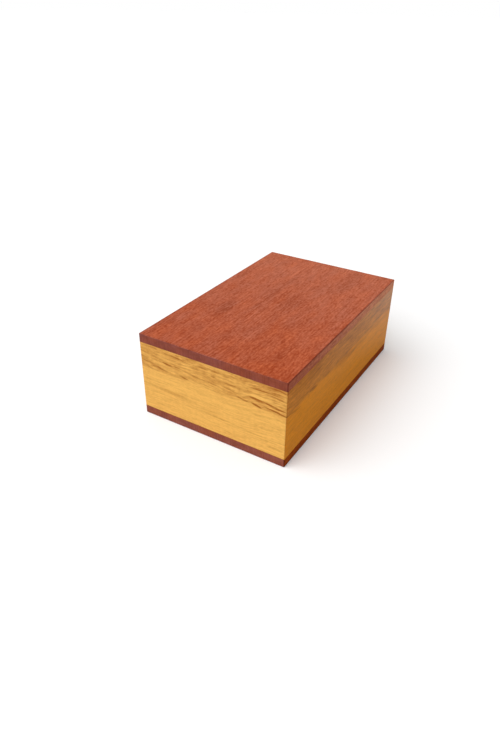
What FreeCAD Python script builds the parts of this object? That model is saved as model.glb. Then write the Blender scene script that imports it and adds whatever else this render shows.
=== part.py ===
import FreeCAD, Part
import os

# Wooden box with a sliding lid, in millimetres
# X is the width, left to right. Y is the length, from the front wall to the rear wall. Z is up.
# The origin is the centre of the underside. The lid slides out over the rear wall, towards +Y.

# Outside sizes
box_width = 105.0
box_length = 166.0
box_height = 60.0

# Thickness of the boards
base_thickness = 6.0
lid_thickness = 6.0
wall_thickness = 8.0

# Edges: the outside arrises are eased, and the edges that meet at a seam are only just broken
arris_radius = 0.5
seam_ease = 0.15

# Lid slide: a groove in the inner face of each long wall, and a tongue under the lid that runs in it
groove_lip = 3.5
groove_height = 3.2
groove_depth = 3.0
running_gap = 0.2
runner_width = 8.0

# Splines glued across the four mitres, out of sight
spline_width = 6.0
spline_thickness = 2.0
spline_cover = 3.0
spline_centre_share = 0.4

# How far a cutting shape runs past what it cuts
overrun = 1.0

# Angle of a mitre between two walls, in degrees
mitre_angle = 45.0

# Places worked out from the sizes above
half_width = box_width / 2
half_length = box_length / 2
inner_half_width = half_width - wall_thickness
inner_half_length = half_length - wall_thickness
wall_bottom = base_thickness
wall_top = box_height - lid_thickness
groove_top = wall_top - groove_lip
groove_floor = groove_top - groove_height
groove_half_width = inner_half_width + groove_depth

# The strips under the lid clear the walls by the running gap
strip_bottom = groove_floor + running_gap
strip_half_width = inner_half_width - running_gap
tongue_top = groove_top - running_gap
tongue_half_width = groove_half_width - running_gap
spline_top = groove_floor - spline_cover


def block(low, high):
    """A box between its lowest and highest corner."""
    sides = [top - bottom for bottom, top in zip(low, high)]
    return Part.makeBox(*sides, FreeCAD.Vector(*low))


def upright_edges(shape):
    return [edge for edge in shape.Edges if edge.BoundBox.ZLength > overrun]


def edges_at_height(shape, height):
    """The edges that lie flat at a height."""
    found = []
    for edge in shape.Edges:
        box = edge.BoundBox
        if abs(box.ZMin - height) < seam_ease and abs(box.ZMax - height) < seam_ease:
            found.append(edge)
    return found


def plate(bottom, top, outer_height, seam_height):
    """A full-size board: rounded on the outside of the box, only just broken at the seam."""
    board = block((-half_width, -half_length, bottom), (half_width, half_length, top))
    board = board.makeFillet(arris_radius, upright_edges(board) + edges_at_height(board, outer_height))
    return board.makeFillet(seam_ease, edges_at_height(board, seam_height))


def wall_ring():
    """The four walls as one ring, before the mitres are cut. Its inner top edges are broken too."""
    ring = block((-half_width, -half_length, wall_bottom), (half_width, half_length, wall_top))
    ring = ring.makeFillet(arris_radius, upright_edges(ring))
    ring = ring.makeFillet(seam_ease, edges_at_height(ring, wall_bottom))
    inside = block(
        (-inner_half_width, -inner_half_length, wall_bottom - overrun),
        (inner_half_width, inner_half_length, wall_top + overrun),
    )
    ring = ring.cut(inside)
    return ring.makeFillet(seam_ease, edges_at_height(ring, wall_top))


def mitre_prism(outline):
    """An upright prism that keeps one wall of the ring. Two sides of its outline are mitre planes."""
    points = [FreeCAD.Vector(x, y, wall_bottom - overrun) for x, y in outline]
    face = Part.Face(Part.makePolygon(points + points[:1]))
    return face.extrude(FreeCAD.Vector(0, 0, wall_top - wall_bottom + 2 * overrun))


def end_prism(side):
    """Keeps the wall across the width: side is -1 at the front and 1 at the rear."""
    far = side * (half_length + overrun)
    near = side * inner_half_length
    reach = half_width + overrun
    return mitre_prism([(-reach, far), (reach, far), (inner_half_width, near), (-inner_half_width, near)])


def side_prism(side):
    """Keeps the wall along the length: side is -1 on the left and 1 on the right."""
    far = side * (half_width + overrun)
    near = side * inner_half_width
    reach = half_length + overrun
    return mitre_prism([(far, -reach), (far, reach), (near, inner_half_length), (near, -inner_half_length)])


def groove_space():
    """The two lid grooves as one slab, which also cuts their way out through the rear wall."""
    return block(
        (-groove_half_width, -half_length - overrun, groove_floor),
        (groove_half_width, half_length + overrun, groove_top),
    )


def rear_notch():
    """The part of the rear wall's top that leaves with the lid."""
    return block(
        (-inner_half_width, inner_half_length - overrun, groove_floor),
        (inner_half_width, half_length + overrun, wall_top + overrun),
    )


def mitre_spline(x_side, y_side):
    """A thin strip set square across a mitre, from the walls' bottom to below the groove."""
    low = (-spline_width / 2, -spline_thickness / 2, wall_bottom)
    high = (spline_width / 2, spline_thickness / 2, spline_top)
    strip = block(low, high)
    strip.rotate(FreeCAD.Vector(0, 0, 0), FreeCAD.Vector(0, 0, 1), -mitre_angle * x_side * y_side)
    inset = spline_centre_share * wall_thickness
    x = x_side * (inner_half_width + inset)
    y = y_side * (inner_half_length + inset)
    strip.translate(FreeCAD.Vector(x, y, 0))
    return strip


def lid_runner(side):
    """A strip under one long edge of the lid, with the tongue that runs in the groove."""
    inner = side * (strip_half_width - runner_width)
    outer = side * strip_half_width
    tip = side * tongue_half_width
    strip = block(
        (min(inner, outer), -inner_half_length, strip_bottom),
        (max(inner, outer), inner_half_length, wall_top),
    )
    tongue = block(
        (min(inner, tip), -inner_half_length, strip_bottom),
        (max(inner, tip), inner_half_length, tongue_top),
    )
    return strip.fuse(tongue).removeSplitter()


def lid_rear_strip():
    """Fills the rear wall's notch, and its tongues fill the ends of the grooves."""
    strip = block(
        (-strip_half_width, inner_half_length, strip_bottom),
        (strip_half_width, half_length, wall_top),
    )
    tongues = block(
        (-tongue_half_width, inner_half_length, strip_bottom),
        (tongue_half_width, half_length, tongue_top),
    )
    return strip.fuse(tongues).removeSplitter()


# The case
splines = {
    "front_left_spline": mitre_spline(-1, -1),
    "front_right_spline": mitre_spline(1, -1),
    "rear_left_spline": mitre_spline(-1, 1),
    "rear_right_spline": mitre_spline(1, 1),
}
spline_slots = list(splines.values())
ring = wall_ring()
grooved_ring = ring.cut(groove_space())
case = {
    "base_plate": plate(0, wall_bottom, 0, wall_bottom),
    "front_wall": ring.common(end_prism(-1)).cut(spline_slots),
    "rear_wall": grooved_ring.common(end_prism(1)).cut(rear_notch()).cut(spline_slots),
    "left_wall": grooved_ring.common(side_prism(-1)).cut(spline_slots),
    "right_wall": grooved_ring.common(side_prism(1)).cut(spline_slots),
    **splines,
}

# The lid
lid = {
    "lid_plate": plate(wall_top, box_height, box_height, wall_top),
    "lid_left_runner": lid_runner(-1),
    "lid_right_runner": lid_runner(1),
    "lid_rear_strip": lid_rear_strip(),
}

os.makedirs("parts", exist_ok=True)
for name, shape in {**case, **lid}.items():
    shape.exportStep("parts/" + name + ".step")
    print(name, "solids", len(shape.Solids), "volume", round(shape.Volume, 1), "valid", shape.isValid())
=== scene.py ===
import math
from collections import namedtuple

import bpy
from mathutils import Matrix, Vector


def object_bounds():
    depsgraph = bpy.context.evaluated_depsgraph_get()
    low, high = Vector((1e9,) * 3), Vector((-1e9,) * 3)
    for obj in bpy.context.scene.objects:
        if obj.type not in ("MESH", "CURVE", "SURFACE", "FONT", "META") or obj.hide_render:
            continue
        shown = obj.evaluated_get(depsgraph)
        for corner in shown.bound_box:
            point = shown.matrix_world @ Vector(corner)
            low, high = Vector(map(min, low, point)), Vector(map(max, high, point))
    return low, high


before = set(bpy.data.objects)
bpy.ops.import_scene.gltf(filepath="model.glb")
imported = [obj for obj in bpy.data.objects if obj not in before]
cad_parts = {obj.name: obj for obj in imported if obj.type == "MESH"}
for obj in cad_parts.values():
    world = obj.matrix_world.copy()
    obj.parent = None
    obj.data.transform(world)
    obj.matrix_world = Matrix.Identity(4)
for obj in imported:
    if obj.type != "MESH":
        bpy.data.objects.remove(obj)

cad_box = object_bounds()

# Camera, solved on the box's corners in the photograph
camera_place = (0.16944, -0.31658, 0.23217)
camera_turn_degrees = (57.319, -0.603, 31.554)
camera_lens_mm = 27.86
camera_sensor_mm = 36.0
camera_nearest = 0.01

# Light levels: 1 is the level at which a white surface renders as white
key_level = 0.82
key_direction = (-0.27, -0.55, 0.79)
key_spread_degrees = 74
fill_at_horizon = 0.305
fill_overhead = 0.516
fill_lean = (-0.15, -0.045)
seen_white = 1.0

# Floor
floor_half = 15.0
floor_colour = 0.94
floor_bounce = 0.58
floor_glow = 0.056

# The wood's surface: the height of its fibres is in metres
wood_roughness = 0.55
grain_depth = 0.00002

# Painted shade along the box's outer edges: they are darker over this stretch from the edge, in mm,
# standing in for the shade on the rounded edges and, along the bottom, where the box meets the floor
arris_shade_start = 0.9
arris_shade_full = 0.3

# How squarely a surface has to face along the grain to show end grain, from 0 to 1
end_grain_start = 0.75
end_grain_full = 0.95

# Pores are where their noise is higher than this
pore_start = 0.12
pore_full = 0.26

MM_PER_METRE = 1000
NOISE_MIDDLE = 0.5

# Sizes in the wood are in mm: along the grain, across it, and from the face into the board
# A layer is a cloud of soft spots of that size, and its strength is how much of the colour it moves
Layer = namedtuple("Layer", "along across through strength detail")

# A mark is one spindle from start to end, whose middle line runs from one height to another
Mark = namedtuple("Mark", "start end start_height end_height width strength")


def total(values):
    found = values[0]
    for value in values[1:]:
        found = found + value
    return found


class Value:
    """One output of a shader node. Arithmetic with it adds the nodes that work it out."""

    def __init__(self, shader, socket):
        self.shader = shader
        self.socket = socket

    def __add__(self, other):
        return self.shader.math("ADD", self, other)

    def __sub__(self, other):
        return self.shader.math("SUBTRACT", self, other)

    def __rsub__(self, other):
        return self.shader.math("SUBTRACT", other, self)

    def __mul__(self, other):
        return self.shader.math("MULTIPLY", self, other)

    def __truediv__(self, other):
        return self.shader.math("DIVIDE", self, other)


class Shader:
    """A node tree of a material or of the world."""

    def __init__(self, owner):
        owner.use_nodes = True
        self.owner = owner
        self.tree = owner.node_tree
        self.tree.nodes.clear()

    def node(self, kind, inputs=(), **settings):
        """Adds a node. inputs maps socket names or numbers to values, plain or from other nodes."""
        node = self.tree.nodes.new(kind)
        for name, value in settings.items():
            setattr(node, name, value)
        for key, value in dict(inputs).items():
            if isinstance(value, Value):
                self.tree.links.new(value.socket, node.inputs[key])
            else:
                node.inputs[key].default_value = value
        return node

    def output(self, node, key=0):
        return Value(self, node.outputs[key])

    def math(self, operation, *values):
        return self.output(self.node("ShaderNodeMath", enumerate(values), operation=operation))

    def vector(self, x, y, z):
        return self.output(self.node("ShaderNodeCombineXYZ", enumerate((x, y, z))))

    def parts(self, vector):
        node = self.node("ShaderNodeSeparateXYZ", {0: vector})
        return [self.output(node, key) for key in range(3)]

    def coordinates(self, kind):
        return self.output(self.node("ShaderNodeTexCoord"), kind)

    def ease(self, value, low, high):
        """0 at low, 1 at high and a smooth step between them. It falls where high is the lower one."""
        inputs = {"Value": value, "From Min": low, "From Max": high}
        return self.output(self.node("ShaderNodeMapRange", inputs, interpolation_type="SMOOTHSTEP"))

    def ramp(self, value, low, high):
        """0 at low, 1 at high and straight between them."""
        inputs = {"Value": value, "From Min": low, "From Max": high}
        return self.output(self.node("ShaderNodeMapRange", inputs))

    def largest(self, *values):
        found = values[0]
        for value in values[1:]:
            found = self.math("MAXIMUM", found, value)
        return found

    def blend(self, share, first, second):
        """The first colour where share is 0 or less, and the second where it is 1 or more."""
        inputs = {0: share, 6: (*first, 1) if isinstance(first, tuple) else first}
        inputs[7] = (*second, 1) if isinstance(second, tuple) else second
        return self.output(self.node("ShaderNodeMix", inputs, data_type="RGBA", clamp_factor=True), 2)

    def tint(self, colour, factors):
        return self.output(self.node("ShaderNodeVectorMath", {0: colour, 1: factors}, operation="MULTIPLY"))

    def add(self, colour, amount):
        """The colour with the same amount added to its red, green and blue."""
        inputs = {0: colour, 1: self.vector(amount, amount, amount)}
        return self.output(self.node("ShaderNodeVectorMath", inputs, operation="ADD"))

    def cloud(self, place, layer):
        """The noise of a layer, about 0 and mostly within a third of its strength."""
        sizes = (layer.along, layer.across, layer.through)
        counted = [value / size for value, size in zip(place, sizes)]
        inputs = {"Vector": self.vector(*counted), "Scale": 1.0, "Detail": layer.detail}
        noise = self.output(self.node("ShaderNodeTexNoise", inputs))
        return (noise - NOISE_MIDDLE) * layer.strength

    def clouds(self, place, layers):
        return total([self.cloud(place, layer) for layer in layers])

    def mark(self, place, mark):
        """A mark's strength on its middle line, fading to 0 at its ends and sides."""
        along, across = place[:2]
        length = mark.end - mark.start
        from_middle = along - (mark.start + mark.end) / 2
        line = from_middle * ((mark.end_height - mark.start_height) / length)
        line = line + (mark.start_height + mark.end_height) / 2
        lengthwise = from_middle / (length / 2)
        sideways = (across - line) / (mark.width / 2)
        return self.ease(lengthwise * lengthwise + sideways * sideways, 1.0, 0.0) * mark.strength

    def marks(self, place, marks):
        return total([self.mark(place, mark) for mark in marks])

    def wood(self, colour, height, sheen):
        """The finished surface: oiled wood, with its pores and fibres as small bumps."""
        bump = self.node("ShaderNodeBump", {"Height": height, "Strength": 1.0, "Distance": grain_depth})
        inputs = {
            "Base Color": colour,
            "Roughness": wood_roughness,
            "Specular IOR Level": sheen,
            "Normal": self.output(bump),
        }
        surface = self.node("ShaderNodeBsdfPrincipled", inputs)
        self.node("ShaderNodeOutputMaterial", {"Surface": self.output(surface)})
        return self.owner


# How a board lies in the box: each of its directions has an axis of the box, a sign and an offset in mm
Direction = namedtuple("Direction", "axis sign offset")
Board = namedtuple("Board", "along across through")


def board_place(shader, board):
    """Where a point is in its board, in mm: along the grain, across it and into the board."""
    axes = dict(zip("XYZ", shader.parts(shader.coordinates("Object"))))
    places = []
    for axis, sign, offset in board:
        places.append(axes[axis] * (sign * MM_PER_METRE) + offset)
    return places


def end_grain(shader, board):
    """1 where the surface cuts across the grain, and 0 where it runs along it."""
    parts = dict(zip("XYZ", shader.parts(shader.coordinates("Normal"))))
    facing = shader.math("ABSOLUTE", parts[board.along.axis])
    return shader.ease(facing, end_grain_start, end_grain_full)


def pores_of(shader, place, layer):
    """1 in the open pores of the wood and 0 between them."""
    return shader.ease(shader.cloud(place, layer), pore_start, pore_full)


def shaded_arrises(shader):
    """Painted shade along the outer edges of the box: 1 along them and 0 elsewhere, first for the edges
    across it, then for the others.
    """
    near = []
    for part, middle, half in zip(shader.parts(shader.coordinates("Object")), box_middle, box_half):
        distance = half - shader.math("ABSOLUTE", part * MM_PER_METRE - middle)
        near.append(shader.ease(distance, arris_shade_start, arris_shade_full))
    near_side, near_end, near_top = near
    return near_end * near_top, shader.largest(near_side * near_end, near_side * near_top)


def wavered(shader, place, waver):
    """The place with the grain's slow waves taken out, so that what is drawn on it waves."""
    along, across, through = place
    return [along, across + shader.cloud(place, waver), through]


# Red-brown hardwood: its noise moves the colour to both sides of the middle
red_middle = 0.5
red_waver = Layer(26, 12, 12, 2.4, 2)
red_lines = [
    Layer(30, 0.85, 1.4, 0.55, 2),
    Layer(24, 1.5, 2.0, 0.90, 2),
    Layer(8, 1.1, 1.4, 1.20, 3),
    Layer(2.2, 1.2, 1.4, 1.70, 2),
    Layer(5, 3.4, 3.4, 0.60, 2),
    Layer(20, 8, 8, 0.35, 2),
]
red_hue = Layer(22, 9, 9, 1.2, 2)
red_pores = Layer(3.2, 0.40, 0.5, 1.0, 1)
red_pore_shade = 0.42
red_end_rays = [
    Layer(3, 0.75, 8, 0.68, 2),
    Layer(3, 0.35, 0.35, 0.52, 1),
    Layer(3, 6, 3, 0.74, 2),
]
warm_tint = (1.08, 0.94, 0.66)
mauve_tint = (0.90, 1.06, 1.45)
patch_shade = 0.30
patch_hue = 0.30
# Painted shade along the red wood's outer edges: a mauve darkening on the edges across the box, and a
# strong darkening on the others
red_end_arris_shade = (0.80, 0.92, 1.22)
red_side_arris_shade = (0.53, 0.42, 0.47)

# Painted reflection: toward the rear the red wood turns paler and more mauve, starting this far before the
# front, in mm, standing in for the sheen of the white surroundings at grazing angles
reflection_before = 22
reflection_dark = (0.68, 0.225, 0.104)
reflection_light = (0.93, 0.370, 0.188)
rear_reflection_hue = 0.22

# The two pale shares are how much of the painted reflection at the rear the faces take, and the right edge
RedColours = namedtuple("RedColours", "dark light end_dark end_light pale_faces pale_edge sheen")
lid_red = RedColours(
    dark=(0.287, 0.0402, 0.0086),
    light=(0.492, 0.118, 0.0506),
    end_dark=(0.149, 0.031, 0.0171),
    end_light=(0.335, 0.0865, 0.0532),
    pale_faces=0.12,
    pale_edge=0.95,
    sheen=0.06,
)
# Painted shade: the base's long-grain colours are the red wood made deeper red, with almost no blue,
# matched to its shaded right edge
shaded_base_red = RedColours(
    dark=(0.280, 0.038, 0.003),
    light=(0.475, 0.094, 0.012),
    end_dark=(0.172, 0.041, 0.0235),
    end_light=(0.377, 0.116, 0.0725),
    pale_faces=0.0,
    pale_edge=0.0,
    sheen=0.005,
)

# What stands out on the lid, seen from above: mauve patches, and dark and light lines
lid_patches = [
    Mark(-44, -6, -27, -27, 12, 0.8),
    Mark(-32, 62, -11.5, -10.5, 7, 0.6),
    Mark(-12, 26, 6, 8, 17, 0.7),
    Mark(26, 90, 26, 25, 17, 0.8),
    Mark(-76, -44, 33, 34, 10, 0.4),
    Mark(-68, -52, -48, -46, 9, 0.4),
    Mark(16, 60, -46, -47, 8, 0.4),
    Mark(-130, 0, 44, 34, 70, -0.5),
]
lid_lines = [
    Mark(-42, -36, -29.2, -29.0, 1.5, -0.50),
    Mark(-58, -18, -25.0, -24.2, 1.4, -0.30),
    Mark(-28, -20, -23.6, -23.6, 2.2, -0.45),
    Mark(-24, -19, -30.6, -30.4, 2.0, -0.40),
    Mark(-32, -21, -26.5, -25.0, 3.5, -0.25),
    Mark(-13, -4, -22.5, -22.8, 1.5, -0.32),
    Mark(-36, -2, -8.9, -8.6, 1.4, -0.40),
    Mark(-32, -2, -3.9, -3.5, 1.2, -0.32),
    Mark(-16, 9, -11.0, -10.6, 1.6, -0.45),
    Mark(4, 26, -2.6, -2.4, 1.2, -0.32),
    Mark(6, 24, -5.0, -4.8, 1.2, -0.30),
    Mark(52, 66, -12.0, -12.0, 1.8, -0.32),
    Mark(-66, -24, 7.0, 7.2, 1.8, 0.55),
    Mark(-45, -8, -6.6, -6.2, 1.6, 0.50),
    Mark(34, 76, -14.8, -14.4, 1.8, 0.42),
    Mark(-24, 12, 33.6, 33.6, 1.6, 0.34),
    Mark(-52, -47, 20.8, 22.0, 2.0, -0.40),
    Mark(-32, -27, 21.6, 21.4, 1.6, -0.42),
    Mark(-76, -70, 27.4, 27.6, 1.6, -0.45),
    Mark(-70, -54, 34.8, 36.0, 2.8, -0.34),
    Mark(34, 40, 45.0, 43.0, 1.6, -0.38),
    Mark(-13, -3, 11.6, 11.8, 1.3, -0.30),
    Mark(-27, -21, 28.6, 28.8, 1.6, -0.34),
    Mark(-130, 0, 44, 34, 70, -0.20),
]


def toward_rear(shader):
    """0 a little before the front of the box, and 1 at its rear."""
    y = shader.parts(shader.coordinates("Object"))[1]
    return shader.ramp(y * MM_PER_METRE, -half_length - reflection_before, half_length)


def painted_reflection_share(shader, colours):
    """How much painted reflection makes the red wood paler at the rear: most on the right edge."""
    rightward = shader.largest(shader.parts(shader.coordinates("Normal"))[0], 0.0)
    return rightward * (colours.pale_edge - colours.pale_faces) + colours.pale_faces


def red_wood(name, board, colours, patches=(), lines=()):
    """Red-brown hardwood: fine lines and pores along the grain, mauve patches, and dark end grain, with a
    painted reflection toward the rear and painted shade along the outer edges.
    """
    shader = Shader(bpy.data.materials.new(name))
    flat_place = board_place(shader, board)
    place = wavered(shader, flat_place, red_waver)
    pores = pores_of(shader, flat_place, red_pores)

    # Painted reflection: the hue turns more mauve toward the rear
    rearward = toward_rear(shader)
    share = shader.clouds(place, red_lines) + red_middle - pores * red_pore_shade
    hue = shader.cloud(place, red_hue) + red_middle + rearward * rear_reflection_hue
    if lines:
        share = share + shader.marks(place, lines)
    if patches:
        patch = shader.marks(place, patches)
        share = share - patch * patch_shade
        hue = hue + patch * patch_hue
    end_share = shader.clouds(flat_place, red_end_rays) + red_middle

    colour = shader.blend(share, colours.dark, colours.light)
    end_colour = shader.blend(end_share, colours.end_dark, colours.end_light)
    colour = shader.blend(end_grain(shader, board), colour, end_colour)
    colour = shader.tint(colour, shader.blend(hue, warm_tint, mauve_tint))
    # Painted reflection: paler and more mauve toward the rear, most on the right edge
    reflected_colour = shader.blend(share, reflection_dark, reflection_light)
    colour = shader.blend(rearward * painted_reflection_share(shader, colours), colour, reflected_colour)
    # Painted shade along the box's outer edges
    end_arris_shade, side_arris_shade = shaded_arrises(shader)
    colour = shader.blend(end_arris_shade, colour, shader.tint(colour, red_end_arris_shade))
    colour = shader.blend(side_arris_shade, colour, shader.tint(colour, red_side_arris_shade))
    return shader.wood(colour, share - pores, colours.sheen)


# Yellow hardwood: the streaked upper part starts at the border, whose height waves a little
yellow_waver = Layer(16, 6, 8, 1.8, 2)
slow_waver = Layer(46, 60, 30, 7, 0)
border_height = 36.4
border_waver = Layer(26, 400, 30, 7.0, 2)
border_low, border_high = -1.2, 2.6
clear_middle = 0.14
figure_middle = 0.26
figure_streaks = [
    Layer(6, 1.0, 2.5, 0.74, 3),
    Layer(12, 1.5, 4, 0.74, 2),
    Layer(3.0, 0.8, 1.2, 0.42, 1),
    Layer(15, 3.4, 6, 0.46, 2),
    Layer(40, 8, 12, 0.28, 1),
]
clear_streaks = [
    Layer(11, 0.5, 0.8, 0.54, 1),
    Layer(24, 0.9, 2, 0.50, 2),
    Layer(14, 1.7, 3, 0.30, 2),
    Layer(2.4, 1.3, 1.2, 0.45, 2),
    Layer(32, 3.4, 6, 0.24, 2),
    Layer(50, 9, 10, 0.16, 1),
    Layer(1.9, 14, 6, 0.11, 1),
]
yellow_pores = Layer(3.4, 0.45, 0.5, 1.0, 1)
yellow_pore_shade = 0.14
# Painted shade along the walls' outer edges
yellow_arris_shade = (0.84, 0.78, 0.72)

# Painted reflection: the walls are paler and greyer round the rear right corner, and more toward the top,
# standing in for the sheen of the white floor at grazing angles
reflection_grey = 0.18
pale_start, pale_full, pale_after, pale_end = 20, 157, 185, 262
pale_bottom, pale_top = 19, 66
pale_reach, pale_reach_start = 16, 100

# Clear is the lightest colour of the lower part, muted that of the streaked upper part, and brown
# that of the streaks
YellowColours = namedtuple("YellowColours", "clear muted brown contrast sheen")
front_yellow = YellowColours(
    clear=(0.902, 0.497, 0.119),
    muted=(0.902, 0.497, 0.119),
    brown=(0.385, 0.123, 0.020),
    contrast=1.0,
    sheen=0.06,
)
# Painted shade: the right wall's colours are a copy of the yellow wood made more saturated orange, matched
# to its look in shade
shaded_right_yellow = YellowColours(
    clear=(0.953, 0.340, 0.0166),
    muted=(0.850, 0.317, 0.037),
    brown=(0.386, 0.115, 0.016),
    contrast=1.0,
    sheen=0.05,
)
other_yellow = YellowColours(
    clear=(0.892, 0.443, 0.085),
    muted=(0.860, 0.425, 0.088),
    brown=(0.370, 0.117, 0.018),
    contrast=0.8,
    sheen=0.06,
)

# The strands that stand out, on the one board that the walls are cut from: 0 is the near corner,
# the front wall lies before it and the right wall after it
strands = [
    Mark(-18, 2, 42.6, 39.6, 1.9, 0.75),
    Mark(-18, 4, 39.6, 36.6, 1.5, 0.55),
    Mark(-26, -14, 42.2, 41.6, 2.0, 0.75),
    Mark(-24, -15.5, 38.6, 36.9, 1.7, 0.90),
    Mark(-35, -24, 39.6, 38.0, 1.6, 0.45),
    Mark(-45, -30, 42.8, 41.3, 1.3, 0.42),
    Mark(-44, -32, 45.8, 45.3, 1.5, 0.35),
    Mark(-52, -47, 47.6, 46.6, 2.0, 0.35),
    Mark(-52, -43, 50.8, 50.4, 1.5, 0.38),
    Mark(-32, 0, 49.4, 48.6, 1.4, 0.34),
    Mark(-28, 5, 52.8, 52.2, 3.4, 0.36),
    Mark(-15, 4, 47.6, 47.0, 1.6, 0.26),
    Mark(-30, 3, 50.6, 49.6, 3.4, 0.22),
    Mark(-46, 4, 43.8, 43.2, 3.0, -0.30),
    Mark(-28, 4, 38.4, 37.0, 3.0, 0.18),
    Mark(-12, 4, 34.6, 33.4, 4.0, 0.12),
    Mark(-90, -66, 51.8, 50.5, 1.5, 0.42),
    Mark(-105, -88, 53.0, 52.2, 1.3, 0.32),
    Mark(-89, -79, 44.6, 43.6, 1.7, 0.62),
    Mark(-80, -73, 44.4, 44.0, 1.6, 0.35),
    Mark(-99, -83, 40.0, 39.2, 1.5, 0.50),
    Mark(-106, -92, 42.4, 40.8, 2.0, 0.34),
    Mark(-76, -67, 39.4, 38.2, 1.7, 0.60),
    Mark(-74, -58, 43.4, 42.4, 1.5, 0.38),
    Mark(-62, -53, 50.8, 50.2, 1.6, 0.38),
    Mark(-105, -90, 37.9, 37.0, 1.0, 0.28),
    Mark(-112, -30, 30.5, 30.0, 7, -0.10),
    Mark(-110, -56, 25.2, 22.4, 3.4, 0.22),
    Mark(-74, -34, 18.6, 18.0, 2.2, 0.17),
    Mark(-106, -96, 28.8, 28.2, 1.6, 0.14),
    Mark(-40, -8, 17.4, 16.4, 1.2, 0.15),
    Mark(-26, -6, 15.4, 15.0, 1.6, 0.18),
    Mark(-43, -36, 10.6, 10.3, 1.4, 0.16),
    Mark(-15, -1, 10.9, 11.2, 2.0, 0.22),
    Mark(-13, 4, 26.6, 26.0, 1.1, 0.16),
    Mark(-1, 19, 37.6, 34.0, 1.7, 0.30),
    Mark(26, 41, 38.6, 36.9, 3.2, 0.52),
    Mark(44, 60, 38.4, 37.2, 2.4, 0.24),
    Mark(58, 100, 39.0, 37.6, 5.0, 0.20),
    Mark(56, 106, 35.8, 33.8, 5.0, 0.28),
    Mark(78, 128, 34.4, 33.8, 4.4, 0.24),
    Mark(112, 126, 40.2, 38.6, 2.0, 0.14),
    Mark(130, 160, 39.8, 38.6, 2.0, 0.24),
    Mark(112, 176, 34.8, 34.2, 4.4, 0.20),
    Mark(118, 226, 46.5, 46.5, 22, 0.13),
    Mark(-8, 64, 49.4, 49.0, 7, 0.12),
    Mark(-20, 70, 54.5, 54.5, 8, 0.16),
    Mark(-6, 200, 50.0, 50.0, 16, 0.18),
]


def strands_on(board, length):
    """The strands that reach onto a wall, whose stretch of the board starts at the wall's lowest place."""
    first = board.along.offset - length / 2
    return [strand for strand in strands if strand.end > first and strand.start < first + length]


def painted_reflection_corner(shader, place):
    """How much grey is added to the walls as painted reflection. Near the rear right corner it reaches
    further down.
    """
    along, across = place[:2]
    near = shader.ramp(along, pale_start, pale_full) * shader.ease(along, pale_end, pale_after)
    reach = shader.ramp(along, pale_reach_start, pale_full) * pale_reach
    return near * shader.ramp(across + reach, pale_bottom, pale_top) * reflection_grey


def yellow_wood(name, board, colours, marks=()):
    """Yellow hardwood: clear below, and a band of brown wavy streaks in the upper part, with a painted
    reflection round the rear right corner and painted shade along the outer corners.
    """
    shader = Shader(bpy.data.materials.new(name))
    flat_place = board_place(shader, board)
    mark_place = wavered(shader, flat_place, yellow_waver)
    place = wavered(shader, mark_place, slow_waver)
    pores = pores_of(shader, flat_place, yellow_pores)

    border = shader.cloud(flat_place, border_waver) + border_height
    height = mark_place[1]
    figure = shader.ease(height - border, border_low, border_high)
    share = figure * (shader.clouds(place, figure_streaks) * colours.contrast + figure_middle)
    share = share + shader.clouds(place, clear_streaks) * colours.contrast + clear_middle
    if marks:
        share = share + shader.marks(mark_place, marks)
    share = share + pores * yellow_pore_shade
    lightest = shader.blend(figure, colours.clear, colours.muted)
    colour = shader.blend(share, lightest, colours.brown)
    # Painted reflection: grey added round the rear right corner and toward the top
    colour = shader.add(colour, painted_reflection_corner(shader, flat_place))
    # Painted shade along the walls' outer corners
    side_arris_shade = shaded_arrises(shader)[1]
    colour = shader.blend(side_arris_shade, colour, shader.tint(colour, yellow_arris_shade))
    return shader.wood(colour, 0.0 - share - pores, colours.sheen)


# Box sizes in mm, from the frame
low, high = cad_box
half_width = high.x * MM_PER_METRE
half_length = high.y * MM_PER_METRE
half_height = high.z * MM_PER_METRE / 2
width, length = 2 * half_width, 2 * half_length
box_middle = (0, 0, half_height)
box_half = (half_width, half_length, half_height)

# The walls are cut one after the other from one board, so the grain runs on round the corners
to_top = Direction("Z", 1, 0)
wall_boards = {
    "front_wall": Board(Direction("X", 1, -half_width), to_top, Direction("Y", 1, half_length)),
    "right_wall": Board(Direction("Y", 1, half_length), to_top, Direction("X", -1, half_width)),
    "rear_wall": Board(Direction("X", -1, length + half_width), to_top, Direction("Y", -1, half_length)),
    "left_wall": Board(Direction("Y", -1, -width - half_length), to_top, Direction("X", 1, half_width)),
}
wall_lengths = {"front_wall": width, "right_wall": length, "rear_wall": width, "left_wall": length}
wall_colours = {
    "front_wall": front_yellow,
    "right_wall": shaded_right_yellow,
    "rear_wall": other_yellow,
    "left_wall": other_yellow,
}

# The other pieces are of boards of their own: the offset picks another stretch of the noise
to_right = Direction("X", 1, 0)
to_rear = Direction("Y", 1, 0)
runner_board = Board(Direction("Y", 1, 400), to_right, to_top)
lid_board = Board(to_rear, to_right, to_top)
base_board = Board(Direction("Y", 1, 310), Direction("X", 1, 47), Direction("Z", 1, 20))
spline_board = Board(to_right, to_top, to_rear)


def dress(node, material):
    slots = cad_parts[node].data.materials
    slots.clear()
    slots.append(material)


for wall, board in wall_boards.items():
    marks = strands_on(board, wall_lengths[wall])
    dress(wall, yellow_wood(wall + "_wood", board, wall_colours[wall], marks))
dress("lid_rear_strip", yellow_wood("strip_wood", wall_boards["rear_wall"], other_yellow))
runner_wood = yellow_wood("runner_wood", runner_board, other_yellow)
dress("lid_left_runner", runner_wood)
dress("lid_right_runner", runner_wood)
dress("lid_plate", red_wood("lid_wood", lid_board, lid_red, lid_patches, lid_lines))
dress("base_plate", red_wood("base_wood", base_board, shaded_base_red))
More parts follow.
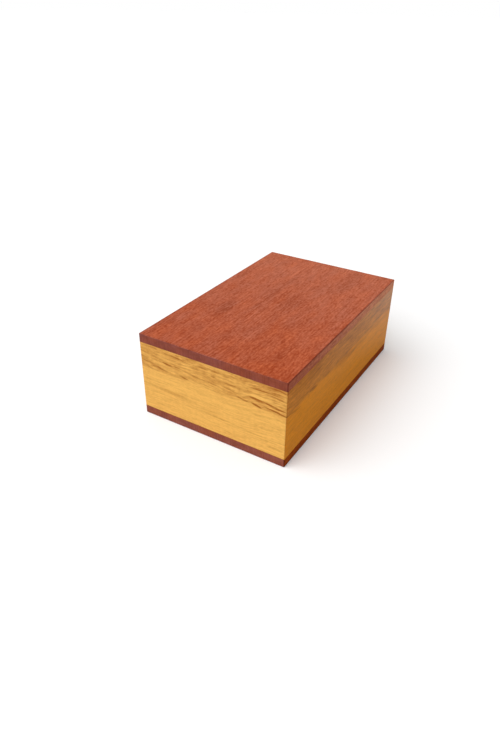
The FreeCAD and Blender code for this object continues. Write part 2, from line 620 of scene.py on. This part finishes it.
# The splines take the base's colours, with their painted shade
spline_wood = red_wood("spline_wood", spline_board, shaded_base_red)
for end in ("front", "rear"):
    for side in ("left", "right"):
        dress(end + "_" + side + "_spline", spline_wood)


def seen_share(shader):
    """1 for what the eye sees, straight, mirrored or through glass, and 0 for light on its way."""
    path = shader.node("ShaderNodeLightPath")
    kinds = ("Is Camera Ray", "Is Glossy Ray", "Is Transmission Ray")
    return shader.largest(*[shader.output(path, kind) for kind in kinds])


def add_floor():
    """A white table top that keeps the box's shadow. It looks whiter than the light that it throws back."""
    corners = [(-1, -1), (1, -1), (1, 1), (-1, 1)]
    mesh = bpy.data.meshes.new("floor")
    mesh.from_pydata([(x * floor_half, y * floor_half, 0) for x, y in corners], [], [(0, 1, 2, 3)])
    floor = bpy.data.objects.new("floor", mesh)
    bpy.context.scene.collection.objects.link(floor)

    shader = Shader(bpy.data.materials.new("floor_white"))
    seen = seen_share(shader)
    grey = seen * (floor_colour - floor_bounce) + floor_bounce
    matt = shader.node("ShaderNodeBsdfDiffuse", {"Color": shader.vector(grey, grey, grey)})
    glow = shader.node("ShaderNodeEmission", {"Strength": seen * floor_glow})
    both = shader.node("ShaderNodeAddShader", {0: shader.output(matt), 1: shader.output(glow)})
    shader.node("ShaderNodeOutputMaterial", {"Surface": shader.output(both)})
    mesh.materials.append(shader.owner)


def add_world():
    """A white studio, whose light is stronger from above and weaker from the right and the rear."""
    world = bpy.data.worlds.new("studio")
    bpy.context.scene.world = world
    shader = Shader(world)
    x, y, z = shader.parts(shader.coordinates("Generated"))
    fill = shader.largest(z, 0.0) * (fill_overhead - fill_at_horizon) + fill_at_horizon
    fill = shader.largest(fill + x * fill_lean[0] + y * fill_lean[1], 0.0)
    strength = fill + seen_share(shader) * (seen_white - fill)
    background = shader.node("ShaderNodeBackground", {"Color": (1, 1, 1, 1), "Strength": strength})
    shader.node("ShaderNodeOutputWorld", {"Surface": shader.output(background)})


def add_key_light():
    """A very broad soft light from the front and above, a little to the left."""
    light = bpy.data.lights.new("key", "SUN")
    light.angle = math.radians(key_spread_degrees)
    light.energy = key_level * math.pi
    lamp = bpy.data.objects.new("key", light)
    lamp.rotation_euler = Vector(key_direction).to_track_quat("Z", "Y").to_euler()
    bpy.context.scene.collection.objects.link(lamp)


def add_camera():
    data = bpy.data.cameras.new("camera")
    data.lens = camera_lens_mm
    data.sensor_width = camera_sensor_mm
    data.clip_start = camera_nearest
    camera = bpy.data.objects.new("camera", data)
    camera.location = camera_place
    camera.rotation_euler = [math.radians(angle) for angle in camera_turn_degrees]
    bpy.context.scene.collection.objects.link(camera)
    bpy.context.scene.camera = camera


add_floor()
add_world()
add_key_light()
add_camera()
bpy.context.scene.view_settings.view_transform = "Standard"
